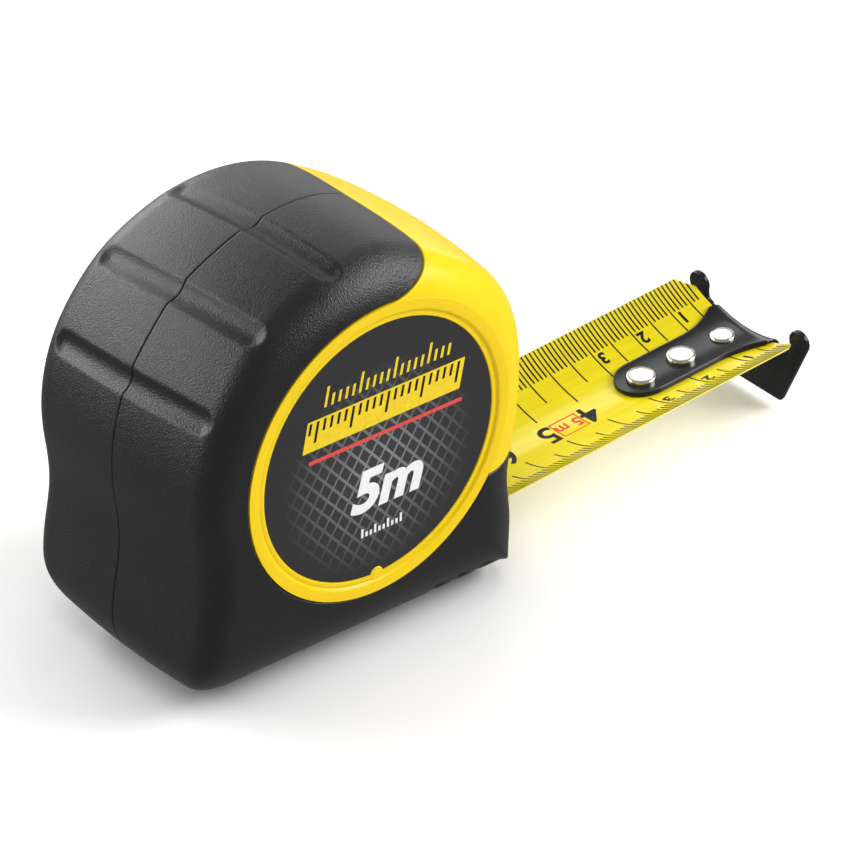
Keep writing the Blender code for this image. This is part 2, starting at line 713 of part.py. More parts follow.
def make_lock(button_mat, pad_mat):
    """Thumb slide on the front face, its stem through the slot and its brake arm."""
    face = CENTRE_X + REACH_FRONT + GAP
    lock = box("lock_button", (face, -LOCK_HALF, LOCK_Z[0]), (face + LOCK_PROUD - GAP, LOCK_HALF, LOCK_Z[1]),
               button_mat)
    stem = box("lock_stem", (ARM_X[0], -STEM_HALF, STEM_Z[0]), (face + MM, STEM_HALF, STEM_Z[1]))
    arm = box("lock_arm", (ARM_X[0], -STEM_HALF, PAD_BOTTOM + PAD_THICK + GAP), (ARM_X[1], STEM_HALF, STEM_Z[1]))
    boolean(lock, stem, "UNION")
    boolean(lock, arm, "UNION")
    for k in range(3):
        z = LOCK_Z[0] + 4.0 * MM + 4.0 * MM * k
        x = face + LOCK_PROUD - GAP
        groove = box(f"lock_groove_{k + 1}", (x - 0.6 * MM, -LOCK_HALF - MM, z - 0.6 * MM),
                     (x + MM, LOCK_HALF + MM, z + 0.6 * MM))
        boolean(lock, groove, "DIFFERENCE")
    box("lock_pad", (ARM_X[0], -STEM_HALF, PAD_BOTTOM), (ARM_X[1], STEM_HALF, PAD_BOTTOM + PAD_THICK), pad_mat)
    return lock


def clip_path():
    """Centre line of the clip's strip in Y and Z, from the screwed leaf to the tip."""
    y_in = CLIP_LEAF_Y
    bend = 0.5 * (CLIP_GAP + CLIP_THICK)
    path = [(y_in, CLIP_LEAF_LOW), (y_in, CLIP_TOP)]
    for deg in range(150, -1, -30):
        a = math.radians(deg)
        path.append((y_in + bend + bend * math.cos(a), CLIP_TOP + bend * math.sin(a)))
    path += [(y_in + 2 * bend, CLIP_LOW), (y_in + 2 * bend + CLIP_FLARE, CLIP_TIP_Z)]
    return path


def make_clip(mat):
    path = clip_path()
    upper, lower = [], []
    for i, (y, z) in enumerate(path):
        y0, z0 = path[max(i - 1, 0)]
        y1, z1 = path[min(i + 1, len(path) - 1)]
        length = math.hypot(y1 - y0, z1 - z0)
        ny, nz = (z1 - z0) / length, -(y1 - y0) / length
        for rows, h in ((upper, -0.5 * CLIP_THICK), (lower, 0.5 * CLIP_THICK)):
            rows.append([(x, y + ny * h, z + nz * h) for x in (-CLIP_HALF, 0.0, CLIP_HALF)])
    clip = slab("belt_clip", upper, lower, mat)
    hole = rod_y("clip_hole", (0.0, AXLE_Z), SCREW_R + GAP, CLIP_LEAF_Y - MM, CLIP_LEAF_Y + MM)
    boolean(clip, hole, "DIFFERENCE")
    return clip


def make_clip_screw(mat):
    seat = CLIP_LEAF_Y + 0.5 * CLIP_THICK + GAP
    profile = [(0.5 * SCREW_R, POST_HALF - 5.0 * MM), (SCREW_R, POST_HALF - 4.0 * MM), (SCREW_R, seat),
               (2.8 * MM, seat), (2.8 * MM, seat + MM), (2.0 * MM, seat + 1.5 * MM)]
    return lathe_y("belt_clip_screw", profile, (0.0, AXLE_Z), mat, 24)


# ---------------------------------------------------------------- assembly

def build():
    clear_scene()
    yellow = material("yellow_plastic", (0.86, 0.60, 0.01), 0.28)
    rubber = material("black_rubber", (0.025, 0.025, 0.027), 0.62)
    film = material("label_film", (0.035, 0.035, 0.038), 0.4)
    blade = material("blade_lacquer", (0.88, 0.74, 0.02), 0.25)
    steel = material("spring_steel", (0.35, 0.36, 0.38), 0.35, 1.0)
    zinc = material("zinc_steel", (0.55, 0.55, 0.56), 0.35, 1.0)
    nickel = material("nickel", (0.85, 0.83, 0.79), 0.18, 1.0)
    painted = material("black_paint", (0.02, 0.02, 0.022), 0.3)
    grey = material("grey_nylon", (0.25, 0.25, 0.26), 0.5)
    black = material("black_plastic", (0.03, 0.03, 0.03), 0.45)

    for hand, side in (("right", -1), ("left", 1)):
        make_shell(f"shell_{hand}", side, yellow)
        make_grip(f"grip_{hand}", side, rubber)
        make_label(f"label_{hand}", side, film)
    for number in range(1, len(SCREW_DEGS) + 1):
        make_case_screw(number, zinc)
    make_bumper(rubber)
    make_post(grey)
    make_drum(grey)
    make_spring(steel)
    make_coil(blade)
    make_lead(blade)
    make_strip(blade)
    make_hook(painted)
    for number in range(1, len(RIVET_US) + 1):
        make_rivet(number, nickel)
    make_lock(black, rubber)
    make_clip(steel)
    make_clip_screw(zinc)


build()
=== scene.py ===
"""Looks of the 5 m tape measure: moulded case, rubber grips, label, printed blade, hook and studio."""
import math

import bmesh
import bpy
import numpy as np
from mathutils import Matrix, Vector


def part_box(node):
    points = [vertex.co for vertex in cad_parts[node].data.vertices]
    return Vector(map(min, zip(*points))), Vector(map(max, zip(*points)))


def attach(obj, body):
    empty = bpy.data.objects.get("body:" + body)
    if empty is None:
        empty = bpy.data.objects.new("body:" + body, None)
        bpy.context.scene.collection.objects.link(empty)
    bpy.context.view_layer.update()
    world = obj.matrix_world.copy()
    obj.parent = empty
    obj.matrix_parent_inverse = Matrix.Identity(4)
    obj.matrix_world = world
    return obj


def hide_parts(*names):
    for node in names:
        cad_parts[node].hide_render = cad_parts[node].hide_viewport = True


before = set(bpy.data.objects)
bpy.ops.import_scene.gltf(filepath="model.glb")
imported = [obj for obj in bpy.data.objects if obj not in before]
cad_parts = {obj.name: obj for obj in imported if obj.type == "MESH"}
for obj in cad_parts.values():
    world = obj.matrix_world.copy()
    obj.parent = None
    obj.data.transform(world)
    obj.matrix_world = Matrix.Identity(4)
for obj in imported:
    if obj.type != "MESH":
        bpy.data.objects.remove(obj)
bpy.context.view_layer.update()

MM = 0.001


def cad_box(node):
    """Lowest and highest corner of a CAD node in mm."""
    return [[round(value / MM, 3) for value in corner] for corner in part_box(node)]


def cad_middle(node):
    """Middle of a CAD node's box in mm."""
    low, high = cad_box(node)
    return [0.5 * (a + b) for a, b in zip(low, high)]


# ---------------------------------------------------------------- sizes (mm)

# Case outline. A set of four goes front, top, rear, base.
AXLE = cad_middle("spring_post")[2]              # height of the spool axle above the base
HALF = -cad_box("grip_right")[0][1]              # half-width of the case
CENTRE = np.array([-3.2, -0.3])                  # middle of the outline from the axle, in X and Z
REACH = np.array([41.3, 37.2, 35.4, 42.7])       # how far each side is from that middle
FILLET = np.array([9.0, 8.6, 5.4, 16.3])         # rounding between the outline and the side face
CROWN = np.array([1.0, 1.15, 1.1, 0.0])          # rise of the middle over the fillet's start
CORNER_REAR, CORNER_FRONT = 12.4, 4.6            # corners of the foot
LOW_FRONT = 4.0                                  # growth of the front fillet towards the base
NOSE_BACK, NOSE_FULL = 1.3, 0.031                # nose set back from the foot, and its fullness
CREST, CREST_ROUND = 1.3, 2.0                    # rise of the top, and its softer edge there
CREST_AT, CREST_SPREAD = 75.0, 16.0              # where on the outline, in degrees
WAIST = 1.5                                      # hollow behind the thumb
HUB_R = 18.0                                     # radius where the side face ends, under the label

# Shells and grips.
SEAM_GAP = 0.05
RUBBER = 1.4
WALL_OUT, WALL_IN = 1.6, 3.0
JOINT_LINE = 0.18                                # gap between rubber and bare plastic
TOP_EDGE, TOP_LEAN, TOP_TURN = 68.0, 3.0, 17.0   # rubber's front edge on top, in degrees
LOW_EDGE, LOW_TURN = 345.0, 17.0                 # rubber's edge on the front, in degrees
GROOVES = (103.5, 130.5, 156.5)                  # grooves across the back, in degrees
GROOVE_HALF, GROOVE_DEPTH = 2.4, 0.95
GROOVE_TIP, GROOVE_SLANT = 20.6, 2.0             # end from the seam, and lean in degrees
FACET = 0.15                                     # half the flattening between two grooves
NOTCHES = (17.0, 22.3, 27.6)                     # notches under the front, in X
NOTCH_HALF, NOTCH_DEPTH, NOTCH_TOP = 1.5, 0.8, 34.0
MOUTH = ((33.0, -16.8, 4.6), (46.0, 16.8, 17.0))
SLOT = ((33.0, -4.3, 27.4), (46.0, 4.3, 41.6))
SCREWS = [cad_middle(f"case_screw_{n}")[::2] for n in (1, 2, 3, 4)]
SINK_R, SINK_FLOOR = 2.3, 18.3                   # recess of a case screw

# Ring and label.
RING_R, LIP_R, LABEL_R = 28.6, 26.3, 25.1
FILM_FACE = HALF - 0.55
SLANT = 0.18                                     # lean of the ruler art on the label

# Blade.
TILT = math.radians(4.0)
COS_T, SIN_T = math.cos(TILT), math.sin(TILT)
ZERO_X, ZERO_Z = 111.2, 13.7                     # top of the blade's trough at the scale's zero
BLADE_R, HALF_ARC, STEEL = 26.0, 16.8, 0.2
BLADE_END, BLADE_CLIP = -1.6, 3.2
TAIL_X = 37.2
BLADE_TAIL = (TAIL_X - ZERO_X) / COS_T           # back end of the blade, along it from the zero
EDGE_W = BLADE_R * (1.0 - math.cos(HALF_ARC / BLADE_R))
PRINT_LIFT = 0.02

# Hook.
HOOK_LIFT, HOOK_T = 0.15, 0.8
HOOK_TOP = HOOK_LIFT + HOOK_T
BEND_R = 3.0
LIP_T = 1.2
TAIL_R, TAIL_BACK = 5.4, -32.3                   # round end of the tail
EAR_R, EAR_Y, EAR_W = 2.35, 13.6, -1.9
RIVETS = ((-27.2, 2.8, 1.95), (-17.2, 2.8, 1.95), (-6.8, 2.4, 1.55))     # place, radius, top

# Camera.
CAMERA_AZ, CAMERA_EL, CAMERA_ROLL = -41.26, 32.69, 1.82
CAMERA_DIST, CAMERA_LENS = 948.8, 225.95
CAMERA_TARGET = (31.39, 0.02, -19.66)            # from the axle

# Mesh detail.
GRIP_ROWS, GRIP_COLS = ((420, 84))
DENSE = np.concatenate([np.linspace(0, 1, 24, endpoint=False), np.linspace(1, 2, 56, endpoint=False),
                        np.linspace(2, 3, 40)])


# ---------------------------------------------------------------- mesh helpers

def add_object(name, verts, faces, mat, sharp=35.0):
    """Mesh object from points in mm and index faces."""
    mesh = bpy.data.meshes.new(name)
    mesh.from_pydata((np.asarray(verts, float) * MM).tolist(), [], faces)
    mesh.validate()
    bm = bmesh.new()
    bm.from_mesh(mesh)
    bmesh.ops.remove_doubles(bm, verts=bm.verts, dist=1e-7)
    bmesh.ops.recalc_face_normals(bm, faces=bm.faces)
    bm.to_mesh(mesh)
    bm.free()
    mesh.shade_smooth()
    mesh.set_sharp_from_angle(angle=math.radians(sharp))
    obj = bpy.data.objects.new(name, mesh)
    bpy.context.scene.collection.objects.link(obj)
    if mat:
        mesh.materials.append(mat)
    return obj


def patch_solid(name, outer, inner, mat):
    """Closed solid between two grids of points."""
    rows, cols = outer.shape[:2]
    verts = np.concatenate([outer.reshape(-1, 3), inner.reshape(-1, 3)])
    low = rows * cols
    faces = []
    for i in range(rows - 1):
        for k in range(cols - 1):
            a, b = i * cols + k, i * cols + k + 1
            c, d = (i + 1) * cols + k + 1, (i + 1) * cols + k
            faces.append((a, b, c, d))
            faces.append((low + a, low + d, low + c, low + b))
    for i in range(rows - 1):
        for k in (0, cols - 1):
            a, d = i * cols + k, (i + 1) * cols + k
            faces.append((a, d, low + d, low + a))
    for k in range(cols - 1):
        for i in (0, rows - 1):
            a, b = i * cols + k, i * cols + k + 1
            faces.append((a, b, low + b, low + a))
    return add_object(name, verts, faces, mat, sharp=60.0)


def loft_solid(name, rings, mat, closed=False, sharp=35.0):
    """Solid through a list of loops of equal length."""
    rings = [np.asarray(r, float) for r in rings]
    n = len(rings[0])
    verts = np.concatenate(rings)
    faces = []
    last = len(rings) if closed else len(rings) - 1
    for j in range(last):
        p, q = j * n, ((j + 1) % len(rings)) * n
        for k in range(n):
            m = (k + 1) % n
            faces.append((p + k, p + m, q + m, q + k))
    if not closed:
        faces.append(tuple(range(n)))
        faces.append(tuple(range((len(rings) - 1) * n, len(rings) * n)))
    return add_object(name, verts, faces, mat, sharp=sharp)


def lathe_y(name, profile, centre, mat, steps=96, closed=False, sharp=35.0):
    """Turn (radius, y) pairs about a line along Y."""
    t = np.linspace(0.0, 2 * np.pi, steps, endpoint=False)
    rings = []
    for radius, y in profile:
        rings.append(np.stack([centre[0] + radius * np.cos(t), np.full(steps, y),
                               centre[1] + radius * np.sin(t)], 1))
    return loft_solid(name, rings, mat, closed=closed, sharp=sharp)


def box_solid(name, low, high, mat, bevel=0.0, segments=3):
    """Box between two corners, with rounded edges if bevel is given."""
    x0, y0, z0 = low
    x1, y1, z1 = high
    rings = [[(x0, y0, z), (x1, y0, z), (x1, y1, z), (x0, y1, z)] for z in (z0, z1)]
    obj = loft_solid(name, rings, mat)
    if bevel:
        add_bevel(obj, bevel, segments)
    return obj


def add_bevel(obj, width, segments=3, angle=30.0):
    """Modifier that rounds the edges sharper than angle."""
    mod = obj.modifiers.new("edge", "BEVEL")
    mod.width = width * MM
    mod.segments = segments
    mod.limit_method = "ANGLE"
    mod.angle_limit = math.radians(angle)
    mod.harden_normals = False


def bake(obj):
    """Put an object's modifiers into its mesh."""
    bpy.context.view_layer.update()
    graph = bpy.context.evaluated_depsgraph_get()
    mesh = bpy.data.meshes.new_from_object(obj.evaluated_get(graph))
    mesh.name = obj.name
    obj.modifiers.clear()
    obj.data = mesh
    return obj


def cut(obj, *tools):
    """Take throw-away solids out of an object."""
    for tool in tools:
        mod = obj.modifiers.new("cut", "BOOLEAN")
        mod.object = tool
        mod.operation = "DIFFERENCE"
        mod.solver = "EXACT"
    bake(obj)
    for tool in tools:
        bpy.data.objects.remove(tool, do_unlink=True)
    obj.data.shade_smooth()
    obj.data.set_sharp_from_angle(angle=math.radians(35.0))


def join(name, objects, mat):
    """Several meshes as one object."""
    bm = bmesh.new()
    for obj in objects:
        bm.from_mesh(obj.data)
    mesh = bpy.data.meshes.new(name)
    bm.to_mesh(mesh)
    bm.free()
    mesh.shade_smooth()
    mesh.set_sharp_from_angle(angle=math.radians(35.0))
    mesh.materials.append(mat)
    obj = bpy.data.objects.new(name, mesh)
    bpy.context.scene.collection.objects.link(obj)
    for old in objects:
        bpy.data.objects.remove(old, do_unlink=True)
    return obj


# ---------------------------------------------------------------- materials

class Graph:
    """Short calls for building a procedural material."""

    def __init__(self, name):
        self.mat = bpy.data.materials.new(name)
        self.mat.use_nodes = True
        self.tree = self.mat.node_tree
        self.shader = self.tree.nodes["Principled BSDF"]
        self.coords = self.tree.nodes.new("ShaderNodeTexCoord").outputs["Object"]

    def node(self, kind, **values):
        node = self.tree.nodes.new(kind)
        for key, value in values.items():
            setattr(node, key, value)
        return node

    def link(self, source, target):
        self.tree.links.new(source, target)

    def noise(self, scale, detail=2.0, roughness=0.5, coords=None):
        node = self.node("ShaderNodeTexNoise")
        node.inputs["Scale"].default_value = scale
        node.inputs["Detail"].default_value = detail
        node.inputs["Roughness"].default_value = roughness
        self.link(coords or self.coords, node.inputs["Vector"])
        return node.outputs["Fac"]

    def spread(self, factor, low, high):
        node = self.node("ShaderNodeMapRange")
        node.inputs["To Min"].default_value = low
        node.inputs["To Max"].default_value = high
        self.link(factor, node.inputs["Value"])
        return node.outputs["Result"]

    def ramp(self, factor, stops):
        node = self.node("ShaderNodeValToRGB")
        elements = node.color_ramp.elements
        while len(elements) < len(stops):
            elements.new(0.5)
        for element, (place, color) in zip(elements, stops):
            element.position = place
            element.color = (*color, 1.0)
        self.link(factor, node.inputs["Fac"])
        return node.outputs["Color"]

    def math(self, operation, a, b=0.0, c=0.0):
        node = self.node("ShaderNodeMath", operation=operation)
        for socket, value in zip(node.inputs, (a, b, c)):
            if isinstance(value, (int, float)):
                socket.default_value = value
            else:
                self.link(value, socket)
        return node.outputs[0]

    def stretched(self, scale):
        node = self.node("ShaderNodeMapping")
        node.inputs["Scale"].default_value = scale
        self.link(self.coords, node.inputs["Vector"])
        return node.outputs["Vector"]

    def bump(self, height, strength, distance, before=None):
        node = self.node("ShaderNodeBump")
        node.inputs["Strength"].default_value = strength
        node.inputs["Distance"].default_value = distance
        self.link(height, node.inputs["Height"])
        if before:
            self.link(before, node.inputs["Normal"])
        return node.outputs["Normal"]

    def out(self, color, roughness, normal=None, **fixed):
        self.link(color, self.shader.inputs["Base Color"])
        self.link(roughness, self.shader.inputs["Roughness"])
        if normal:
            self.link(normal, self.shader.inputs["Normal"])
        for key, value in fixed.items():
            self.shader.inputs[key.replace("_", " ")].default_value = value
        return self.mat


def yellow_plastic():
    """Smooth moulded plastic with a faint cloud in its colour."""
    g = Graph("yellow_case")
    cloud = g.noise(55.0, 3.0)
    color = g.ramp(cloud, [(0.25, (0.80, 0.55, 0.002)), (0.75, (0.86, 0.60, 0.003))])
    fine = g.noise(1600.0, 2.0)
    wave = g.noise(140.0, 1.0)
    rough = g.spread(g.noise(420.0, 3.0), 0.24, 0.36)
    normal = g.bump(fine, 0.06, 0.00006, g.bump(wave, 0.05, 0.0003))
    return g.out(color, rough, normal, Specular_IOR_Level=0.25)


def black_rubber():
    """Soft rubber with a fine sandy grain."""
    g = Graph("rubber_grip")
    grain = g.noise(3400.0, 2.0, 0.6)
    coarse = g.noise(900.0, 2.0)
    patch = g.noise(40.0, 3.0)
    color = g.ramp(patch, [(0.2, (0.008, 0.008, 0.0085)), (0.8, (0.013, 0.013, 0.0135))])
    rough = g.spread(grain, 0.26, 0.40)
    normal = g.bump(grain, 0.8, 0.00017, g.bump(coarse, 0.06, 0.00012))
    return g.out(color, rough, normal, Specular_IOR_Level=0.5)


def label_film():
    """Dark film with a woven line pattern that is brightest near the middle."""
    g = Graph("label_film")
    split = g.node("ShaderNodeSeparateXYZ")
    g.link(g.coords, split.inputs[0])
    x, z = split.outputs["X"], split.outputs["Z"]
    drop = g.math("SUBTRACT", z, (AXLE - 3.0) * MM)
    away = g.math("SQRT", g.math("ADD", g.math("MULTIPLY", x, x), g.math("MULTIPLY", drop, drop)))
    glow = g.ramp(g.math("DIVIDE", away, 22.0 * MM), [(0.15, (1, 1, 1)), (0.95, (0, 0, 0))])
    lines = None
    for lean, pitch, width in ((58.0, 2.55, 0.08), (-48.0, 2.2, 0.115)):
        turn = math.radians(lean)
        across = g.math("SUBTRACT", g.math("MULTIPLY", x, math.sin(turn)),
                        g.math("MULTIPLY", z, math.cos(turn)))
        phase = g.math("FRACT", g.math("DIVIDE", across, pitch * MM))
        near = g.math("ABSOLUTE", g.math("SUBTRACT", phase, 0.5))
        line = g.math("LESS_THAN", near, width)
        lines = line if lines is None else g.math("MAXIMUM", lines, line)
    worn = g.math("MULTIPLY", lines, g.spread(g.noise(700.0, 2.0), 0.6, 1.0))
    mix = g.node("ShaderNodeMix", data_type="RGBA")
    g.link(g.math("MULTIPLY", worn, g.math("MULTIPLY", glow, 0.75)), mix.inputs["Factor"])
    g.link(g.ramp(glow, [(0.0, (0.026, 0.026, 0.028)), (1.0, (0.040, 0.040, 0.042))]), mix.inputs["A"])
    mix.inputs["B"].default_value = (0.30, 0.30, 0.31, 1.0)
    normal = g.bump(g.noise(1500.0, 2.0), 0.04, 0.00005)
    rough = g.spread(g.noise(300.0, 2.0), 0.34, 0.46)
    return g.out(mix.outputs["Result"], rough, normal, Specular_IOR_Level=0.4)


def blade_lacquer():
    """Yellow lacquer on rolled steel, streaked along the blade."""
    g = Graph("blade_lacquer")
    along = g.stretched((40.0, 900.0, 900.0))
    streak = g.noise(1.0, 3.0, 0.5, along)
    color = g.ramp(streak, [(0.3, (0.62, 0.51, 0.004)), (0.7, (0.68, 0.57, 0.007))])
    rough = g.spread(g.noise(500.0, 2.0), 0.16, 0.28)
    normal = g.bump(streak, 0.05, 0.0001, g.bump(g.noise(2200.0, 2.0), 0.05, 0.00004))
    return g.out(color, rough, normal, Specular_IOR_Level=0.35)


def ink(name, color):
    """Printing ink, very slightly uneven."""
    g = Graph(name)
    shade = g.ramp(g.noise(900.0, 2.0), [(0.2, tuple(0.85 * c for c in color)), (0.8, color)])
    rough = g.spread(g.noise(1500.0, 1.0), 0.35, 0.48)
    return g.out(shade, rough, Specular_IOR_Level=0.25)


def metal(name, color, low, high, stretch=(1.0, 1.0, 1.0)):
    """Brushed or plated metal between two roughnesses, its grain drawn out by stretch."""
    g = Graph(name)
    grain = g.noise(700.0, 3.0, 0.6, g.stretched(stretch))
    tone = g.ramp(grain, [(0.25, tuple(0.86 * c for c in color)), (0.75, color)])
    rough = g.spread(grain, low, high)
    return g.out(tone, rough, g.bump(grain, 0.1, 0.00004), Metallic=1.0)


def black_enamel():
    """Glossy black paint with a slight orange peel."""
    g = Graph("black_enamel")
    peel = g.noise(420.0, 2.0)
    color = g.ramp(g.noise(80.0, 2.0), [(0.3, (0.008, 0.008, 0.009)), (0.7, (0.014, 0.014, 0.015))])
    rough = g.spread(g.noise(1300.0, 2.0), 0.16, 0.26)
    return g.out(color, rough, g.bump(peel, 0.10, 0.00012), Specular_IOR_Level=0.25)


def plain_plastic(name, color, roughness):
    """Moulded plastic with a fine texture."""
    g = Graph(name)
    shade = g.ramp(g.noise(120.0, 2.0), [(0.3, tuple(0.9 * c for c in color)), (0.7, color)])
    rough = g.spread(g.noise(900.0, 2.0), roughness - 0.06, roughness + 0.08)
    return g.out(shade, rough, g.bump(g.noise(2300.0, 2.0), 0.2, 0.00006))


YELLOW = yellow_plastic()
RUBBER_MAT = black_rubber()
FILM = label_film()
BLADE = blade_lacquer()
INK_BLACK = ink("ink_black", (0.005, 0.005, 0.005))
INK_RED = ink("ink_red", (0.70, 0.030, 0.012))
INK_WHITE = ink("ink_white", (0.86, 0.86, 0.85))
INK_YELLOW = ink("ink_yellow", (0.86, 0.62, 0.01))
LINE_RED = ink("line_red", (0.72, 0.07, 0.06))
NICKEL = metal("rivet_nickel", (0.86, 0.83, 0.77), 0.14, 0.30)
ZINC = metal("screw_zinc", (0.60, 0.60, 0.61), 0.28, 0.42)
SPRING = metal("spring_steel", (0.52, 0.53, 0.55), 0.22, 0.36, (1.0, 0.08, 1.0))
ENAMEL = black_enamel()
NYLON = plain_plastic("grey_nylon", (0.22, 0.22, 0.23), 0.5)
BLACK_PLASTIC = plain_plastic("black_plastic", (0.018, 0.018, 0.019), 0.42)


# ---------------------------------------------------------------- case surface

def crest(u):
    """Share of the gentle rise in the top, just ahead of the axle."""
    return np.exp(-((u - CREST_AT) / CREST_SPREAD) ** 2)


def stretches(u):
    """Tests for the seven stretches of the outline: nose, back, waist, heel, base, toe, front."""
    return [u < 90, u < 180, u < 210, u < 240, u < 270, u < 300, u <= 361]


def heel_turn(u):
    """Angle round the corner of the heel."""
    return np.radians(180.0 + 3.0 * (u - 210.0))


def toe_turn(u):
    """Angle round the corner of the toe."""
    return np.radians(270.0 + 3.0 * (u - 270.0))


def outline(u, inset):
    """Case outline about the axle: u in degrees, inset (..., 4) for each side."""
    xf, zt, xr, zb = (REACH[i] - inset[..., i] for i in range(4))
    rad = np.radians(u)
    c = np.maximum(CORNER_REAR - 0.5 * (inset[..., 2] + inset[..., 3]), 1.0)
    d = np.maximum(CORNER_FRONT - 0.5 * (inset[..., 0] + inset[..., 3]), 1.0)
    heel, toe = heel_turn(u), toe_turn(u)
    rear = (u - 180.0) / 30.0
    floor = (u - 240.0) / 30.0
    front = (u - 300.0) / 60.0
    step = NOSE_BACK * smooth((front - 0.2) / 0.32)
    full = 1.0 + NOSE_FULL * np.sin(2.0 * rad) * (np.sin(4.0 * rad) + 0.4 * np.sin(2.0 * rad))
    parts = stretches(u)
    x = np.select(parts, [
        (xf - NOSE_BACK) * np.cos(rad) * full, xr * np.cos(rad),
        -xr + WAIST * np.sin(np.pi * rear) ** 2,
        -xr + c + c * np.cos(heel),
        (-xr + c) + (xf - d + xr - c) * floor,
        xf - d + d * np.cos(toe),
        xf - step])
    z = np.select(parts, [
        zt * np.sin(rad) * full, zt * np.sin(rad),
        -(zb - c) * rear,
        -zb + c + c * np.sin(heel),
        -zb + 0 * u,
        -zb + d + d * np.sin(toe),
        (-zb + d) * (1.0 - front)])
    rise = CREST * crest(u)
    return x + rise * np.cos(rad) + CENTRE[0], z + rise * np.sin(rad) + CENTRE[1]


def side_weights(u):
    """How much each side (front, top, rear, base) rules the outline at u."""
    s = np.sin(np.radians(u)) ** 2
    t = np.sin(heel_turn(u)) ** 2
    q = np.sin(toe_turn(u)) ** 2
    parts = stretches(u)
    zero, one = 0 * u, 0 * u + 1.0
    return np.stack([
        np.select(parts, [1 - s, zero, zero, zero, zero, 1 - q, one]),
        np.select(parts, [s, s, zero, zero, zero, zero, zero]),
        np.select(parts, [zero, 1 - s, one, 1 - t, zero, zero, zero]),
        np.select(parts, [zero, zero, zero, t, one, q, zero])], -1)


def case_point(u, v):
    """Right-hand case surface: v 0 at the seam, 1 where the fillet starts, 2 side face, 3 hub."""
    w = side_weights(u)
    low = np.where(u < 200.0, 0.0, smooth((361.0 - u) / 40.0))
    fillet = FILLET + low[..., None] * np.array([LOW_FRONT, 0.0, 0.0, 0.0])
    fillet = fillet + crest(u)[..., None] * np.array([0.0, CREST_ROUND, 0.0, 0.0])
    radius = (w * fillet).sum(-1)
    crown = w @ CROWN
    start = np.arctan(2 * crown / (HALF - radius))
    bend = np.clip(v - 1.0, 0.0, 1.0)
    theta = start + (0.5 * np.pi - start) * bend
    first = HALF - radius * (1.0 - np.sin(start))
    y = np.where(v < 1.0, v * first, HALF - radius * (1.0 - np.sin(theta)))
    fall = np.where(v < 1.0, v * v, 1.0)
    round_off = np.where(v < 1.0, 0.0, np.cos(start) - np.cos(theta))
    inset = CROWN * fall[..., None] + fillet * round_off[..., None]
    x, z = outline(u, inset)
    rho = np.hypot(x, z)
    hub = np.where(v > 2.0, 1.0 + (HUB_R / rho - 1.0) * (v - 2.0), 1.0)
    return np.stack([x * hub, y, z * hub], -1)


def case_surface(u, a, rim=RING_R):
    """Surface point at outline angle u and share a of the way from the seam to the ring."""
    shape = np.broadcast(u, a).shape
    u = np.broadcast_to(u, shape).ravel()
    a = np.broadcast_to(a, shape).ravel()
    dense = case_point(u[:, None], np.broadcast_to(DENSE, (len(u), len(DENSE))))
    rho = np.hypot(dense[..., 0], dense[..., 2])
    inside = (rho < rim) & (DENSE > 1.0)
    hit = inside.argmax(1)
    rows = np.arange(len(u))
    r0, r1 = rho[rows, hit - 1], rho[rows, hit]
    part = (r0 - rim) / np.maximum(r0 - r1, 1e-9)
    step = np.linalg.norm(np.diff(dense, axis=1), axis=2)
    run = np.concatenate([np.zeros((len(u), 1)), np.cumsum(step, 1)], 1)
    total = run[rows, hit - 1] + part * step[rows, hit - 1]
    goal = a * total
    place = np.clip((run <= goal[:, None]).sum(1) - 1, 0, len(DENSE) - 2)
    share = (goal - run[rows, place]) / np.maximum(step[rows, place], 1e-9)
    low, high = dense[rows, place], dense[rows, place + 1]
    return (low + (high - low) * share[:, None]).reshape(shape + (3,)), total.reshape(shape)


def grid_normals(points):
    """Outward normals of a grid of points."""
    du = np.gradient(points, axis=0)
    dv = np.gradient(points, axis=1)
    normal = np.cross(dv, du)
    normal /= np.maximum(np.linalg.norm(normal, axis=2, keepdims=True), 1e-12)
    middle = points.reshape(-1, 3).mean(0) * np.array([0.3, 0.0, 0.3])
    if np.sum(normal * (points - middle)) < 0:
        normal = -normal
    return normal


def smooth(t):
    """Soft step from 0 to 1."""
    t = np.clip(t, 0.0, 1.0)
    return t * t * (3.0 - 2.0 * t)


def roll(distance, radius):
    """Inset of a rounded border at a distance from it."""
    d = np.clip(radius - distance, 0.0, radius)
    return radius - np.sqrt(radius ** 2 - d ** 2)


def graded(count, length, edge, ends=(True, True)):
    """Shares 0 to 1 with extra rows within edge of each end."""
    fine = np.array([0.0, 0.04, 0.14, 0.3, 0.55, 0.8]) * edge / length
    low = fine if ends[0] else np.array([0.0])
    high = (1.0 - fine[::-1]) if ends[1] else np.array([1.0])
    share = edge / length
    inner = np.linspace(share * ends[0], 1.0 - share * ends[1], count)
    inner = inner[(inner > low[-1] + 1e-9) & (inner < high[0] - 1e-9)]
    return np.concatenate([low, inner, high])


def top_edge(a):
    """Outline angle of the rubber's front edge on top: straight across, then back to the ring."""
    t = np.clip((a - 0.60) / 0.40, 0.0, 1.0)
    curl = 1.0 - np.sqrt(np.maximum(1.0 - t ** 2.6, 0.0))
    return TOP_EDGE - TOP_LEAN * smooth(a / 0.65) + TOP_TURN * (0.25 * t ** 2 + 0.75 * curl)


def low_edge(a):
    """Outline angle of the rubber's edge on the front: it falls towards the ring."""
    t = np.clip((a - 0.5) / 0.5, 0.0, 1.0)
    return LOW_EDGE - LOW_TURN * t ** 1.3


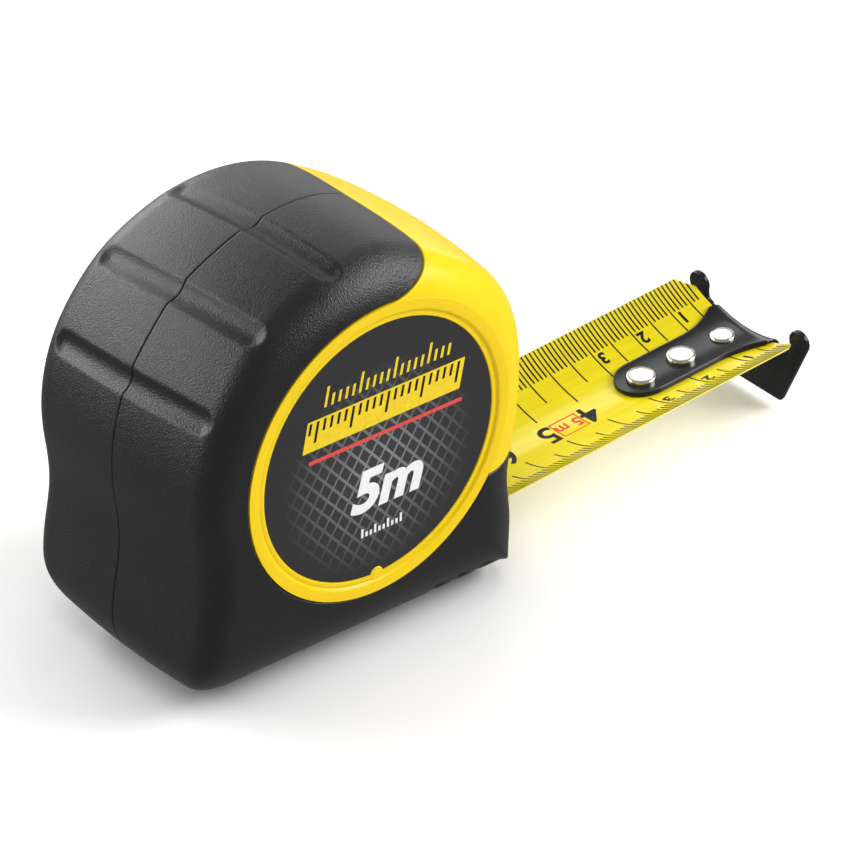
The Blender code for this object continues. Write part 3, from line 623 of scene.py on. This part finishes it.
def groove_cut(points, side):
    """Depth of the grooves across the back, the flats between them and the notches under the front."""
    polar = np.degrees(np.arctan2(points[..., 2], points[..., 0])) % 360.0
    y = np.abs(points[..., 1])
    lean = GROOVE_SLANT * side * y / GROOVE_TIP
    past = np.maximum(y - GROOVE_TIP + GROOVE_HALF, 0.0)
    between = np.clip((polar - lean - GROOVES[0]) / (GROOVES[2] - GROOVES[0]), 0.0, 1.0)
    depth = FACET * (1.0 - np.cos(4.0 * np.pi * between)) * smooth((25.0 - y) / 6.0)
    for centre in GROOVES:
        across = np.radians(polar - centre - lean) * REACH[1]
        off = np.clip(np.hypot(across, past) / GROOVE_HALF, 0.0, 1.0)
        depth = depth + GROOVE_DEPTH * (1.0 - off ** 2) ** 1.1
    under = smooth((-points[..., 2] - NOTCH_TOP) / 4.0)
    for x in NOTCHES:
        off = np.abs(points[..., 0] - x) / NOTCH_HALF
        depth = np.maximum(depth, NOTCH_DEPTH * (1.0 - smooth((off - 0.2) / 0.8)) * under)
    return depth


def column_run(points):
    """Distance along each column of a grid from its first row."""
    step = np.linalg.norm(np.diff(points, axis=0), axis=2)
    return np.concatenate([np.zeros((1, points.shape[1])), np.cumsum(step, 0)])


def clear_seam(*grids):
    """Keep grids off the middle plane, with their first column at the seam's gap."""
    for grid in grids:
        grid[:, 0, 1] = SEAM_GAP
        grid[..., 1] = np.maximum(grid[..., 1], SEAM_GAP)
    return grids


def to_world(points, side):
    """Points about the axle as world points: side is -1 for the right half, 1 for the left."""
    out = points.copy()
    out[..., 1] *= side
    out[..., 2] += AXLE
    return out


def grip_points(rows, cols, side):
    """Outer and inner face of a rubber grip."""
    i = graded(rows, 200.0, 0.6)
    k = graded(cols, 38.0, 0.6)
    a = k[None, :] + 0 * i[:, None]
    first, last = top_edge(a), low_edge(a)
    u = first + (last - first) * i[:, None]
    points, total = case_surface(u, a, RING_R + JOINT_LINE)
    run = column_run(points)
    border = np.minimum(np.minimum(run, run[-1] - run), (1.0 - a) * total)
    seam = a * total
    inset = roll(border, 0.45) + roll(seam, 0.3) + groove_cut(points, side)
    normal = grid_normals(points)
    points[..., 1] = np.maximum(points[..., 1], 0.0)
    return clear_seam(points - normal * inset[..., None], points - normal * RUBBER)


def front_tools(tag):
    """Solids for the mouth and the lock's slot."""
    return [box_solid(f"mouth_{tag}", *MOUTH, None), box_solid(f"slot_{tag}", *SLOT, None)]


def screw_tools(tag):
    """Solids for the recesses of the case screws."""
    profile = [(SINK_R, SINK_FLOOR), (SINK_R, 30.0)]
    return [lathe_y(f"sink_{tag}_{n}", profile, place, None, 40) for n, place in enumerate(SCREWS)]


def build_grip(hand, side):
    """Rubber grip, with holes for the screws on the left."""
    faces = (to_world(p, side) for p in grip_points(GRIP_ROWS, GRIP_COLS, side))
    grip = patch_solid(f"rubber_{hand}", *faces, RUBBER_MAT)
    tools = front_tools(f"grip_{hand}")
    if side > 0:
        tools += screw_tools(f"grip_{hand}")
    cut(grip, *tools)
    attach(grip, "case")
    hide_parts(f"grip_{hand}")


def nose_points(rows, cols):
    """Bare yellow front, between the two rubber edges."""
    i = graded(rows, 60.0, 0.3)
    k = graded(cols, 38.0, 0.3, (True, False))
    a = k[None, :] + 0 * i[:, None]
    last, first = top_edge(a) - 0.22, low_edge(a) - 360.0 + 0.22
    u = (first + (last - first) * i[:, None]) % 360.0
    points, total = case_surface(u, a)
    run = column_run(points)
    border = np.minimum(run, run[-1] - run)
    inset = roll(border, 0.25) + roll(a * total, 0.2)
    normal = grid_normals(points)
    return clear_seam(points - normal * inset[..., None], points - normal * WALL_IN)


def liner_points(rows, cols):
    """Yellow wall under the rubber."""
    i = np.linspace(0.0, 1.0, rows)
    k = np.linspace(0.0, 1.0, cols)
    a = k[None, :] + 0 * i[:, None]
    first, last = top_edge(a) - 1.0, low_edge(a) + 1.0
    u = first + (last - first) * i[:, None]
    points, _ = case_surface(u, a, RING_R - 0.5)
    normal = grid_normals(points)
    return clear_seam(points - normal * WALL_OUT, points - normal * WALL_IN)


def ring_profile():
    """Flat band round the label with a small step and a lip on its inner edge."""
    h = HALF
    step = [(LIP_R + 0.45, h), (LIP_R + 0.25, h - 0.05), (LIP_R + 0.1, h - 0.2), (LIP_R, h - 0.42)]
    lip = [(LIP_R - 0.12, h - 0.5), (LIP_R - 0.35, h - 0.42), (LABEL_R + 0.35, h - 0.36),
           (LABEL_R + 0.12, h - 0.42), (LABEL_R + 0.05, h - 0.55), (LABEL_R + 0.05, h - 1.0)]
    back = [(6.0, h - 1.0), (6.0, h - WALL_IN), (RING_R, h - WALL_IN), (RING_R, h - 0.001)]
    return back + step + lip


def build_body(hand, side):
    """Yellow case half: nose, wall under the rubber, ring and floor behind the label."""
    nose = patch_solid(f"nose_{hand}", *(to_world(p, side) for p in nose_points(110, 70)), YELLOW)
    liner = patch_solid(f"liner_{hand}", *(to_world(p, side) for p in liner_points(150, 30)), YELLOW)
    ring = lathe_y(f"ring_{hand}", [(r, side * y) for r, y in ring_profile()], (0.0, AXLE), YELLOW, 240,
                   closed=True, sharp=50.0)
    key = lathe_y(f"key_{hand}", [(1.5, side * (HALF - 1.0)), (1.5, side * (HALF - 0.6)),
                                  (1.3, side * (HALF - 0.4)), (0.8, side * (HALF - 0.34))],
                  (0.0, AXLE - LABEL_R - 0.3), YELLOW, 40)
    cut(nose, *front_tools(f"nose_{hand}"))
    cut(liner, *front_tools(f"liner_{hand}"))
    parts = [nose, liner, ring, key]
    if side > 0:
        for n, part in enumerate((nose, liner, ring)):
            cut(part, *screw_tools(f"part_{n}"))
    wall = HALF - WALL_IN + 0.1
    boss = [(1.5, side * 0.8), (2.5, side * 0.8), (2.5, side * wall), (1.5, side * wall)]
    seat = [(SINK_R, SINK_FLOOR), (SINK_R, wall), (3.0, wall), (3.0, 17.5), (1.5, 17.5), (1.5, SINK_FLOOR)]
    for n, place in enumerate(SCREWS):
        parts.append(lathe_y(f"boss_{hand}_{n}", boss, place, YELLOW, 32, closed=True))
        if side > 0:
            parts.append(lathe_y(f"seat_{n}", seat, place, YELLOW, 32, closed=True))
    body = join(f"body_{hand}", parts, YELLOW)
    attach(body, "case")
    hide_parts(f"shell_{hand}")


# ---------------------------------------------------------------- label

def flat_text(name, text, height, slant=0.0, bold=0.0):
    """2-D polygons of a text, centred on its middle: (points, faces)."""
    curve = bpy.data.curves.new(name, "FONT")
    curve.body = text
    curve.size = 1.0
    curve.align_x = "CENTER"
    curve.align_y = "CENTER"
    curve.shear = slant
    curve.offset = bold
    curve.resolution_u = 6
    obj = bpy.data.objects.new(name, curve)
    bpy.context.scene.collection.objects.link(obj)
    bpy.context.view_layer.update()
    graph = bpy.context.evaluated_depsgraph_get()
    mesh = bpy.data.meshes.new_from_object(obj.evaluated_get(graph))
    bpy.data.objects.remove(obj, do_unlink=True)
    points = np.array([v.co[:2] for v in mesh.vertices])
    faces = [tuple(p.vertices) for p in mesh.polygons]
    bpy.data.meshes.remove(mesh)
    low, high = points.min(0), points.max(0)
    points = (points - 0.5 * (low + high)) * (height / (high[1] - low[1]))
    return points, faces


def merge(shapes):
    """Join (points, faces) pairs into one."""
    points, faces, base = [], [], 0
    for p, f in shapes:
        points.append(np.asarray(p, float))
        faces += [tuple(i + base for i in face) for face in f]
        base += len(p)
    return np.concatenate(points), faces


def bar(x0, z0, x1, z1, slant=0.0):
    """Upright bar leaning by slant, as one quad."""
    low, high = slant * z0, slant * z1
    return [(x0 + low, z0), (x1 + low, z0), (x1 + high, z1), (x0 + high, z1)], [(0, 1, 2, 3)]


def stroke(ax, az, bx, bz, width):
    """Straight line of a given width, as one quad."""
    length = math.hypot(bx - ax, bz - az)
    nx, nz = -(bz - az) / length * width / 2, (bx - ax) / length * width / 2
    return [(ax + nx, az + nz), (ax - nx, az - nz), (bx - nx, bz - nz), (bx + nx, bz + nz)], [(0, 1, 2, 3)]


def label_art(name, shapes, mat, lift, side):
    """Printed shapes standing a hair above the label."""
    points, faces = merge(shapes)
    depth = np.full(len(points), side * (FILM_FACE + lift))
    verts = np.stack([points[:, 0] * -side, depth, points[:, 1] + AXLE], 1)
    obj = add_object(name, verts, faces, mat)
    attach(obj, "case")


def build_label(hand, side):
    """Round label with a plain ruler in place of lettering, a red line and the length."""
    h = FILM_FACE
    profile = [(0.01, h - 0.8), (LABEL_R, h - 0.8), (LABEL_R, h - 0.06), (LABEL_R - 0.06, h), (0.01, h)]
    label = lathe_y(f"film_{hand}", [(r, side * y) for r, y in profile], (0.0, AXLE), FILM, 200)
    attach(label, "case")
    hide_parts(f"label_{hand}")
    ticks = []
    for n in range(19):
        tall = 3.9 if n % 5 == 0 else 2.2
        x = -14.6 + 1.5 * n
        ticks.append(bar(x - 0.28, 13.4, x + 0.28, 13.4 + tall, SLANT))
    label_art(f"art_scale_{hand}", ticks, INK_YELLOW, 0.03, side)
    label_art(f"art_bar_{hand}", [bar(-18.0, 5.6, 16.6, 11.6, SLANT)], INK_YELLOW, 0.03, side)
    notches = []
    for n in range(22):
        tall = 4.0 if n % 5 == 1 else 2.2
        x = -17.2 + 1.55 * n
        notches.append(bar(x - 0.26, 11.2 - tall, x + 0.26, 11.2, SLANT))
    label_art(f"art_notches_{hand}", notches, INK_BLACK, 0.06, side)
    label_art(f"art_line_{hand}", [bar(-15.6, 2.9, 18.2, 3.7)], LINE_RED, 0.04, side)
    points, faces = flat_text("five_m", "5m", 8.5, 0.22, 0.04)
    points = points * np.array([1.12, 1.0]) + np.array([1.9, -7.2])
    label_art(f"art_length_{hand}", [(points, faces)], INK_WHITE, 0.05, side)
    small = []
    for n, x in enumerate(np.linspace(-3.4, 5.2, 10)):
        small.append(bar(x - 0.25, -16.6, x + 0.25, -14.8 if n % 3 == 0 else -15.6))
    label_art(f"art_foot_{hand}", small, INK_WHITE, 0.04, side)


# ---------------------------------------------------------------- blade

def along(u, y, w):
    """World point at u along the blade from the scale's zero, y across, w above the trough."""
    return np.stack([ZERO_X + u * COS_T - w * SIN_T, y + 0 * u, ZERO_Z + u * SIN_T + w * COS_T], -1)


def on_blade(u, arc, lift):
    """Point on the curved blade at an arc length from its middle."""
    a = arc / BLADE_R
    radius = BLADE_R - lift
    return along(u, radius * np.sin(a), BLADE_R - radius * np.cos(a))


def build_strip():
    """Curved steel strip with its front corners clipped and three rivet holes."""
    us = np.concatenate([np.linspace(BLADE_TAIL, BLADE_END - BLADE_CLIP, 60),
                         [BLADE_END - 1.6, BLADE_END - 0.5, BLADE_END]])
    half = np.full(len(us), HALF_ARC)
    half[-3:] -= np.array([0.5, 0.84, 1.0]) * BLADE_CLIP
    arc = half[:, None] * np.linspace(-1, 1, 49)[None, :]
    u = us[:, None] + 0 * arc
    strip = patch_solid("strip", on_blade(u, arc, 0.0), on_blade(u, arc, -STEEL), BLADE)
    cut(strip, *[upright("strip_hole", place, 1.5, -3.0, 3.0) for place, _, _ in RIVETS])
    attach(strip, "blade")
    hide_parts("blade_strip")


def turned(name, place, profile, steps, mat, sharp=35.0):
    """Turn (radius, height) pairs about a line that stands on the blade at a place along it."""
    t = np.linspace(0, 2 * np.pi, steps, endpoint=False)
    rings = [along(place + r * np.cos(t), r * np.sin(t), np.full(steps, w)) for r, w in profile]
    return loft_solid(name, rings, mat, sharp=sharp)


def upright(name, place, radius, low, high):
    """Round tool that stands on the blade."""
    return turned(name, place, [(radius, low), (radius, high)], 40, None)


def blade_print(name, shapes, mat):
    """Printed shapes in (u, arc) wrapped on the blade's curve."""
    points, faces = merge(shapes)
    mesh = bpy.data.meshes.new(name)
    mesh.from_pydata([(p[0], p[1], 0.0) for p in points], [], faces)
    bm = bmesh.new()
    bm.from_mesh(mesh)
    for place in np.arange(-16.0, 16.5, 1.0):
        geometry = bm.verts[:] + bm.edges[:] + bm.faces[:]
        bmesh.ops.bisect_plane(bm, geom=geometry, plane_co=(0, place, 0), plane_no=(0, 1, 0), dist=1e-5)
    bm.to_mesh(mesh)
    bm.free()
    flat = np.array([v.co for v in mesh.vertices])
    polygons = [tuple(p.vertices) for p in mesh.polygons]
    bpy.data.meshes.remove(mesh)
    obj = add_object(name, on_blade(flat[:, 0], flat[:, 1], PRINT_LIFT), polygons, mat)
    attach(obj, "blade")


def digits(text, height, u, arc, bold):
    """Text that reads from the far side, its right towards the case."""
    points, faces = flat_text("digit", text, height, 0.0, bold)
    return np.stack([u - points[:, 0], arc - points[:, 1]], 1), faces


def half_at(u):
    """Half arc of the blade at u, less at its clipped corners."""
    return HALF_ARC - BLADE_CLIP * min(max((u - BLADE_END + BLADE_CLIP) / BLADE_CLIP, 0.0), 1.0)


def mark_size(mm):
    """Length of a scale mark, how much longer the far one is, and its half-width."""
    if mm % 10 == 0:
        return 11.7, 2.0, 0.16
    if mm % 5 == 0:
        return 9.4, 1.3, 0.16
    return 5.9, 0.0, 0.19


def build_print():
    """Millimetre scale on both edges, centimetre numbers and the boxed length."""
    marks = []
    for mm in range(3, int(-BLADE_TAIL)):
        size, longer, wide = mark_size(mm)
        for side in (-1, 1):
            size += longer * max(side, 0)
            low, high = sorted((side * (half_at(-mm) - 0.12), side * (HALF_ARC - size)))
            marks.append(bar(-mm - wide, low, -mm + wide, high))
    blade_print("scale_marks", marks, INK_BLACK)
    numbers = []
    for cm in (1, 2, 3):
        for side in (-1, 1):
            numbers.append(digits(str(cm), 2.8, -10.0 * cm + 1.5, side * 9.1, 0.035))
    for cm in (4, 5, 6, 7):
        numbers.append(digits(str(cm), 5.4, -10.0 * cm - 0.9, -1.3, 0.015))
    blade_print("scale_numbers", numbers, INK_BLACK)
    middle, across, long, tall, width = -46.0, -1.3, 2.95, 2.35, 0.28
    corners = [(middle + i * long, across + k * tall) for i, k in ((-1, -1), (1, -1), (1, 1), (-1, 1))]
    sides = []
    for (ax, ay), (bx, by) in zip(corners, corners[1:] + corners[:1]):
        reach = 0.5 * width / math.hypot(bx - ax, by - ay)
        dx, dy = (bx - ax) * reach, (by - ay) * reach
        sides.append(stroke(ax - dx, ay - dy, bx + dx, by + dy, width))
    blade_print("length_box", sides, INK_RED)
    blade_print("length_text", [digits("5 m", 2.7, middle, across, 0.02)], INK_RED)


# ---------------------------------------------------------------- hook

def tail_half(u):
    """Half-width of the hook's tail: round end, straight, then flared to the bend."""
    if u < TAIL_BACK + TAIL_R:
        return math.sqrt(max(TAIL_R ** 2 - (u - TAIL_BACK - TAIL_R) ** 2, 0.05))
    return TAIL_R + 4.3 * min(max((u + 13.0) / 12.0, 0.0), 1.0) ** 2.2


def build_hook():
    """Tail plate on the blade, the bend down over its end, and the lip."""
    us = np.concatenate([TAIL_BACK + TAIL_R * (1 - np.cos(np.linspace(0.08, 0.5 * np.pi, 16))),
                         np.linspace(-26.0, -BEND_R, 60)])
    bend_r = BLADE_R - HOOK_TOP
    rows_out, rows_in = [], []
    k = np.linspace(-1, 1, 61)
    for u in us:
        half = tail_half(u)
        rim = roll((1 - np.abs(k)) * half, 0.35)
        arc = k * half
        rows_out.append(on_blade(np.full(61, u), arc, HOOK_TOP - rim))
        rows_in.append(on_blade(np.full(61, u), arc, HOOK_LIFT + 0 * arc))
    half = tail_half(-BEND_R)
    rim = roll((1 - np.abs(k)) * half, 0.35)
    offset = 0.5 * LIP_T
    for t in np.linspace(0.0, 0.5 * np.pi, 14)[1:]:
        a = k * (half + 0.3 * math.sin(t)) / BLADE_R
        floor = BLADE_R - bend_r * np.cos(a)
        y = bend_r * np.sin(a)
        u_out = -BEND_R + (BEND_R + offset - rim) * math.sin(t)
        w_out = floor - BEND_R + (BEND_R - rim) * math.cos(t)
        u_in = -BEND_R + (BEND_R - offset - 0.2) * math.sin(t)
        w_in = floor - BEND_R + (BEND_R - HOOK_T) * math.cos(t)
        rows_out.append(along(u_out, y, w_out))
        rows_in.append(along(u_in, y, w_in))
    rows_out.append(along(np.full(61, offset - 0.04), y, floor - BEND_R - 1.2))
    rows_in.append(along(np.full(61, -offset + 0.04), y, floor - BEND_R - 1.2))
    tail = patch_solid("hook_tail", np.array(rows_out), np.array(rows_in), ENAMEL)
    lip = build_lip()
    cut(tail, *[upright("hook_hole", place, 2.0, -3.0, 5.0) for place, _, _ in RIVETS])
    hook = join("hook", [tail, lip], ENAMEL)
    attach(hook, "hook")
    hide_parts("end_hook")


def build_lip():
    """Lip plate with its two ears."""
    points = [(0.0, -17.2), (8.8, -17.2), (9.25, -17.05), (9.5, -16.7)]
    for deg in range(-18, 199, 12):
        a = math.radians(deg)
        points.append((EAR_Y + EAR_R * math.cos(a), EAR_W + EAR_R * math.sin(a)))
    points += [(11.35, -3.6), (11.2, -4.2), (10.9, -4.5), (10.5, -4.6)]
    rise = [(y, w + EDGE_W) for y, w in points]
    for y in (9.5, 7.0, 4.5, 2.0, 0.0):
        rise.append((y, BLADE_R - math.sqrt((BLADE_R - HOOK_TOP) ** 2 - y ** 2) - BEND_R - 0.2))
    ys, ws = np.array(rise + [(-y, w) for y, w in reversed(rise) if y > 0.0]).T
    rings = [along(np.full(len(ys), u), ys, ws) for u in (-0.5 * LIP_T, 0.5 * LIP_T)]
    lip = loft_solid("hook_lip", rings, ENAMEL)
    add_bevel(lip, 0.28, 3, 40.0)
    return bake(lip)


def build_rivets():
    """Rivets: foot under the blade, shank, and a broad head with a rounded edge."""
    seat = HOOK_TOP + 0.02
    for n, (place, r, top) in enumerate(RIVETS, 1):
        foot = [(0.9, -1.05), (1.6, -1.0), (1.85, -0.75), (1.85, -0.5), (1.2, -0.5), (1.2, seat)]
        rim = [(r - 0.1, seat), (r, seat + 0.08), (r, top - 0.34), (r - 0.07, top - 0.18)]
        crown = [(r - 0.2, top - 0.05), (r - 0.36, top), (0.55 * r, top + 0.03), (0.2 * r, top + 0.04)]
        rivet = turned(f"rivet_{n}", place, foot + rim + crown, 72, NICKEL, 50.0)
        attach(rivet, "blade")
        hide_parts(f"hook_rivet_{n}")


# ---------------------------------------------------------------- small parts

def build_lock():
    """Ribbed thumb slide on the front, with its stem and brake arm inside."""
    (back, right, foot), (_, left, top) = cad_box("lock_button")
    face = CENTRE[0] + REACH[0] - NOSE_BACK + 0.3
    body = box_solid("thumb_slide", (face, right, 24.0), (face + 3.1, left, top), BLACK_PLASTIC, 1.1, 5)
    bake(body)
    grooves = [box_solid(f"rib_{n}", (face + 2.5, -5.6, z - 0.55), (face + 5.0, 5.6, z + 0.55),
                         None, 0.2, 2)
               for n, z in enumerate((27.0, 29.5, 32.0, 34.5, 37.0))]
    cut(body, *[bake(g) for g in grooves])
    stem = box_solid("thumb_stem", (back, -4.0, 28.0), (face + 0.5, 4.0, 36.0), BLACK_PLASTIC)
    arm = box_solid("thumb_arm", (back, -4.0, foot), (back + 3.4, 4.0, 36.0), BLACK_PLASTIC)
    lock = join("lock", [body, stem, arm], BLACK_PLASTIC)
    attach(lock, "lock")
    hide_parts("lock_button")


def paint_nodes():
    """CAD pieces shown as they are, with their finishes."""
    finishes = {
        "lock_pad": RUBBER_MAT, "mouth_bumper": RUBBER_MAT, "spring_post": NYLON, "spool_drum": NYLON,
        "power_spring": SPRING, "blade_coil": BLADE, "blade_lead": BLADE, "belt_clip": SPRING,
        "belt_clip_screw": ZINC, "case_screw_1": ZINC, "case_screw_2": ZINC, "case_screw_3": ZINC,
        "case_screw_4": ZINC}
    for node, mat in finishes.items():
        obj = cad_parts[node]
        obj.data.materials.clear()
        obj.data.materials.append(mat)


# ---------------------------------------------------------------- studio

def emitter(name, size, strength, place):
    """White rectangular light turned to the object."""
    data = bpy.data.lights.new(name, "AREA")
    data.shape = "RECTANGLE"
    data.size, data.size_y = size
    data.energy = strength
    obj = bpy.data.objects.new(name, data)
    obj.location = place
    obj.rotation_euler = (Vector(place) - Vector((0.02, 0.0, 0.03))).to_track_quat("Z", "Y").to_euler()
    bpy.context.scene.collection.objects.link(obj)
    return obj


def build_studio():
    """Pale floor, even surroundings and five soft lights."""
    g = Graph("studio_paper")
    color = g.ramp(g.noise(3.0, 2.0), [(0.3, (0.90, 0.90, 0.90)), (0.7, (0.93, 0.93, 0.93))])
    paper = g.out(color, g.spread(g.noise(90.0, 2.0), 0.8, 0.95))
    corners = [(i * 3000.0, k * 3000.0, -0.05) for i, k in ((-1, -1), (1, -1), (1, 1), (-1, 1))]
    floor = add_object("floor", corners, [(0, 1, 2, 3)], paper)
    floor.visible_glossy = False
    world = bpy.data.worlds.new("studio")
    world.use_nodes = True
    back = world.node_tree.nodes["Background"]
    back.inputs["Color"].default_value = (1.0, 1.0, 1.0, 1.0)
    back.inputs["Strength"].default_value = 0.24
    bpy.context.scene.world = world
    emitter("key", (0.6, 0.4), 8.0, (0.68, -0.44, 0.52))
    emitter("strip", (1.5, 0.30), 11.0, (-0.22, 0.78, 0.32))
    emitter("upper", (0.25, 0.25), 0.6, (0.50, 0.50, 0.56))
    emitter("rim", (0.8, 0.4), 1.8, (1.17, 0.93, 0.20))
    fill = emitter("fill", (1.2, 1.2), 7.0, (-0.05, -0.15, 1.10))
    fill.visible_glossy = False


def build_camera():
    """Camera at the photograph's angle."""
    a, e, roll_angle = (math.radians(v) for v in (CAMERA_AZ, CAMERA_EL, CAMERA_ROLL))
    back = Vector((math.sin(a) * math.cos(e), -math.cos(a) * math.cos(e), math.sin(e)))
    right = Vector((0, 0, 1)).cross(back).normalized()
    up = back.cross(right)
    c, s = math.cos(roll_angle), math.sin(roll_angle)
    right, up = c * right + s * up, -s * right + c * up
    target = (Vector(CAMERA_TARGET) + Vector((0, 0, AXLE))) * MM
    place = target + back * CAMERA_DIST * MM
    matrix = Matrix((right, up, back)).transposed().to_4x4()
    matrix.translation = place
    data = bpy.data.cameras.new("camera")
    data.sensor_width = 36.0
    data.lens = CAMERA_LENS
    data.clip_start = 0.05
    data.clip_end = 20.0
    camera = bpy.data.objects.new("camera", data)
    camera.matrix_world = matrix
    bpy.context.scene.collection.objects.link(camera)
    bpy.context.scene.camera = camera


for hand, side in (("right", -1), ("left", 1)):
    build_body(hand, side)
    build_grip(hand, side)
    build_label(hand, side)
build_strip()
build_print()
build_hook()
build_rivets()
build_lock()
paint_nodes()
build_studio()
build_camera()
bpy.context.scene.view_settings.view_transform = "Standard"
